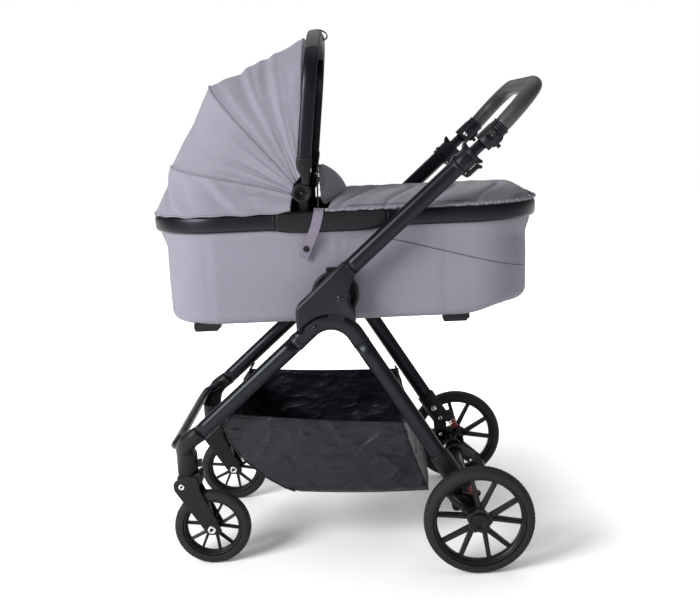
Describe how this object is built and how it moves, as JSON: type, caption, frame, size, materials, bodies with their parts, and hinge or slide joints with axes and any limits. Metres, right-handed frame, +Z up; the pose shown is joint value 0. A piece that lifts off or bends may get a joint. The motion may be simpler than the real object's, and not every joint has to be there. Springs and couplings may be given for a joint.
{
  "type": "baby stroller",
  "caption": "Baby stroller: four-wheeled folding frame with a carrycot, folding canopy, telescopic handle and shopping basket.",
  "frame": {"origin": "on the floor under the middle of the carrycot", "axes": "+Z up, -X the way it travels, +X towards the handle, Y across"},
  "size_m": [0.8981, 0.644, 1.2245],
  "materials": {
    "anodised_tube": "satin black lacquered aluminium tube",
    "frame_casting": "satin dark grey coated casting",
    "black_plastic": "fine grained black plastic",
    "wheel_plastic": "satin black wheel plastic",
    "tyre_rubber": "foamed rubber with a moulded tread",
    "screw_steel": "bright and blackened screws",
    "red_spring": "red powder coated spring wire",
    "grip_leather": "stitched black leatherette",
    "grey_fabric": "purple grey twill weave",
    "liner_fabric": "soft light liner",
    "black_nylon": "crinkled black nylon"
  },
  "bodies": {
    "chassis": {"front_leg_left": "anodised_tube", "front_leg_right": "anodised_tube", "rear_leg_left": "anodised_tube", "rear_leg_right": "anodised_tube", "side_arch_left": "frame_casting", "side_arch_right": "frame_casting", "front_knee_left": "black_plastic", "front_knee_right": "black_plastic", "front_crossbar": "frame_casting", "rear_axle_tube": "anodised_tube", "rear_housing_left": "black_plastic", "rear_housing_right": "black_plastic", "basket": "black_nylon", "frame_screws": "screw_steel", "cot_adapters": "black_plastic"},
    "upper_frame": {"hinge_block_left": "frame_casting", "hinge_block_right": "frame_casting", "push_tube_left": "anodised_tube", "push_tube_right": "anodised_tube", "tube_collars": "frame_casting"},
    "handle": {"handle_tube": "anodised_tube", "handle_sleeves": "frame_casting", "handle_grip": "grip_leather"},
    "carrycot": {"cot_shell": "grey_fabric", "cot_rim": "black_plastic", "hand_holds": "black_plastic", "mattress": "liner_fabric", "cot_feet": "black_plastic", "cot_latches": "black_plastic", "cot_cover": "grey_fabric", "wind_flap": "grey_fabric", "side_straps": "grey_fabric", "canopy_hubs": "black_plastic"},
    "canopy_low": {"rib_lower": "black_plastic", "canopy_lower": "grey_fabric"},
    "canopy_mid": {"rib_upper": "black_plastic", "canopy_middle": "grey_fabric"},
    "canopy_front": {"canopy_bow": "grip_leather", "canopy_top": "grey_fabric"},
    "brake": {"brake_pedal": "black_plastic"},
    "fold_trigger_left": {"fold_trigger_left": "black_plastic"},
    "adjust_button_left": {"adjust_button_left": "black_plastic"},
    "caster_left": {"caster_fork_left": "black_plastic"},
    "swivel_lock_left": {"swivel_lock_left": "black_plastic"},
    "front_wheel_left": {"front_tyre_left": "tyre_rubber", "front_rim_left": "wheel_plastic"},
    "rear_wheel_left": {"rear_tyre_left": "tyre_rubber", "rear_rim_left": "wheel_plastic"},
    "suspension_left": {"swing_arm_left": "black_plastic", "spring_left": "red_spring"},
    "fold_trigger_right": {"fold_trigger_right": "black_plastic"},
    "adjust_button_right": {"adjust_button_right": "black_plastic"},
    "caster_right": {"caster_fork_right": "black_plastic"},
    "swivel_lock_right": {"swivel_lock_right": "black_plastic"},
    "front_wheel_right": {"front_tyre_right": "tyre_rubber", "front_rim_right": "wheel_plastic"},
    "rear_wheel_right": {"rear_tyre_right": "tyre_rubber", "rear_rim_right": "wheel_plastic"},
    "suspension_right": {"swing_arm_right": "black_plastic", "spring_right": "red_spring"}
  },
  "joints": [
    {"name": "fold", "type": "hinge", "parent": "chassis", "child": "upper_frame", "pos_m": [-0.014, 0, 0.636], "axis": [0, -1, 0], "range_deg": [0, 120]},
    {"name": "handle_slide", "type": "slide", "parent": "upper_frame", "child": "handle", "axis": [0.7547, 0, 0.6561], "range_m": [-0.02, 0.08]},
    {"name": "cot_lift", "type": "slide", "parent": "chassis", "child": "carrycot", "axis": [0, 0, 1], "range_m": [0, 0.12]},
    {"name": "canopy_front_fold", "type": "hinge", "parent": "canopy_mid", "child": "canopy_front", "pos_m": [-0.089, 0, 0.866], "axis": [0, -1, 0], "range_deg": [0, 30], "deforming": ["canopy_top"]},
    {"name": "canopy_mid_fold", "type": "hinge", "parent": "canopy_low", "child": "canopy_mid", "pos_m": [-0.089, 0, 0.866], "axis": [0, -1, 0], "range_deg": [0, 26], "deforming": ["canopy_middle"]},
    {"name": "canopy_low_fold", "type": "hinge", "parent": "carrycot", "child": "canopy_low", "pos_m": [-0.089, 0, 0.866], "axis": [0, -1, 0], "range_deg": [0, 6], "deforming": ["canopy_lower"]},
    {"name": "brake", "type": "hinge", "parent": "chassis", "child": "brake", "pos_m": [0.258, 0, 0.142], "axis": [0, 1, 0], "range_deg": [0, 14]},
    {"name": "fold_trigger_left", "type": "slide", "parent": "upper_frame", "child": "fold_trigger_left", "axis": [0.7547, 0, 0.6561], "range_m": [0, 0.006], "stiffness_N_per_m": 400, "springref_m": -0.004},
    {"name": "adjust_button_left", "type": "slide", "parent": "handle", "child": "adjust_button_left", "axis": [-0.6561, 0, 0.7547], "range_m": [0, 0.003], "stiffness_N_per_m": 500, "springref_m": -0.002},
    {"name": "swivel_left", "type": "hinge", "parent": "chassis", "child": "caster_left", "pos_m": [-0.391, -0.198, 0.2], "axis": [0, 0, 1], "continuous": true},
    {"name": "front_spin_left", "type": "hinge", "parent": "caster_left", "child": "front_wheel_left", "pos_m": [-0.342, -0.198, 0.09], "axis": [0, 1, 0], "continuous": true},
    {"name": "swivel_lock_left", "type": "slide", "parent": "chassis", "child": "swivel_lock_left", "axis": [0, 0, 1], "range_m": [0, 0.006]},
    {"name": "suspension_left", "type": "hinge", "parent": "chassis", "child": "suspension_left", "pos_m": [0.23, -0.238, 0.153], "axis": [0, -1, 0], "range_deg": [0, 10], "stiffness_Nm_per_rad": 90, "springref_deg": -6.88, "deforming": ["spring_left"]},
    {"name": "rear_spin_left", "type": "hinge", "parent": "suspension_left", "child": "rear_wheel_left", "pos_m": [0.276, -0.3, 0.125], "axis": [0, 1, 0], "continuous": true},
    {"name": "fold_trigger_right", "type": "slide", "parent": "upper_frame", "child": "fold_trigger_right", "axis": [0.7547, 0, 0.6561], "range_m": [0, 0.006], "stiffness_N_per_m": 400, "springref_m": -0.004},
    {"name": "adjust_button_right", "type": "slide", "parent": "handle", "child": "adjust_button_right", "axis": [-0.6561, 0, 0.7547], "range_m": [0, 0.003], "stiffness_N_per_m": 500, "springref_m": -0.002},
    {"name": "swivel_right", "type": "hinge", "parent": "chassis", "child": "caster_right", "pos_m": [-0.391, 0.198, 0.2], "axis": [0, 0, 1], "continuous": true},
    {"name": "front_spin_right", "type": "hinge", "parent": "caster_right", "child": "front_wheel_right", "pos_m": [-0.342, 0.198, 0.09], "axis": [0, 1, 0], "continuous": true},
    {"name": "swivel_lock_right", "type": "slide", "parent": "chassis", "child": "swivel_lock_right", "axis": [0, 0, 1], "range_m": [0, 0.006]},
    {"name": "suspension_right", "type": "hinge", "parent": "chassis", "child": "suspension_right", "pos_m": [0.23, 0.238, 0.153], "axis": [0, -1, 0], "range_deg": [0, 10], "stiffness_Nm_per_rad": 90, "springref_deg": -6.88, "deforming": ["spring_right"]},
    {"name": "rear_spin_right", "type": "hinge", "parent": "suspension_right", "child": "rear_wheel_right", "pos_m": [0.276, 0.3, 0.125], "axis": [0, 1, 0], "continuous": true}
  ],
  "couplings": [
    {"joint": "canopy_mid_fold", "follows": "canopy_front_fold", "ratio": 0.86667},
    {"joint": "canopy_low_fold", "follows": "canopy_front_fold", "ratio": 0.2}
  ]
}
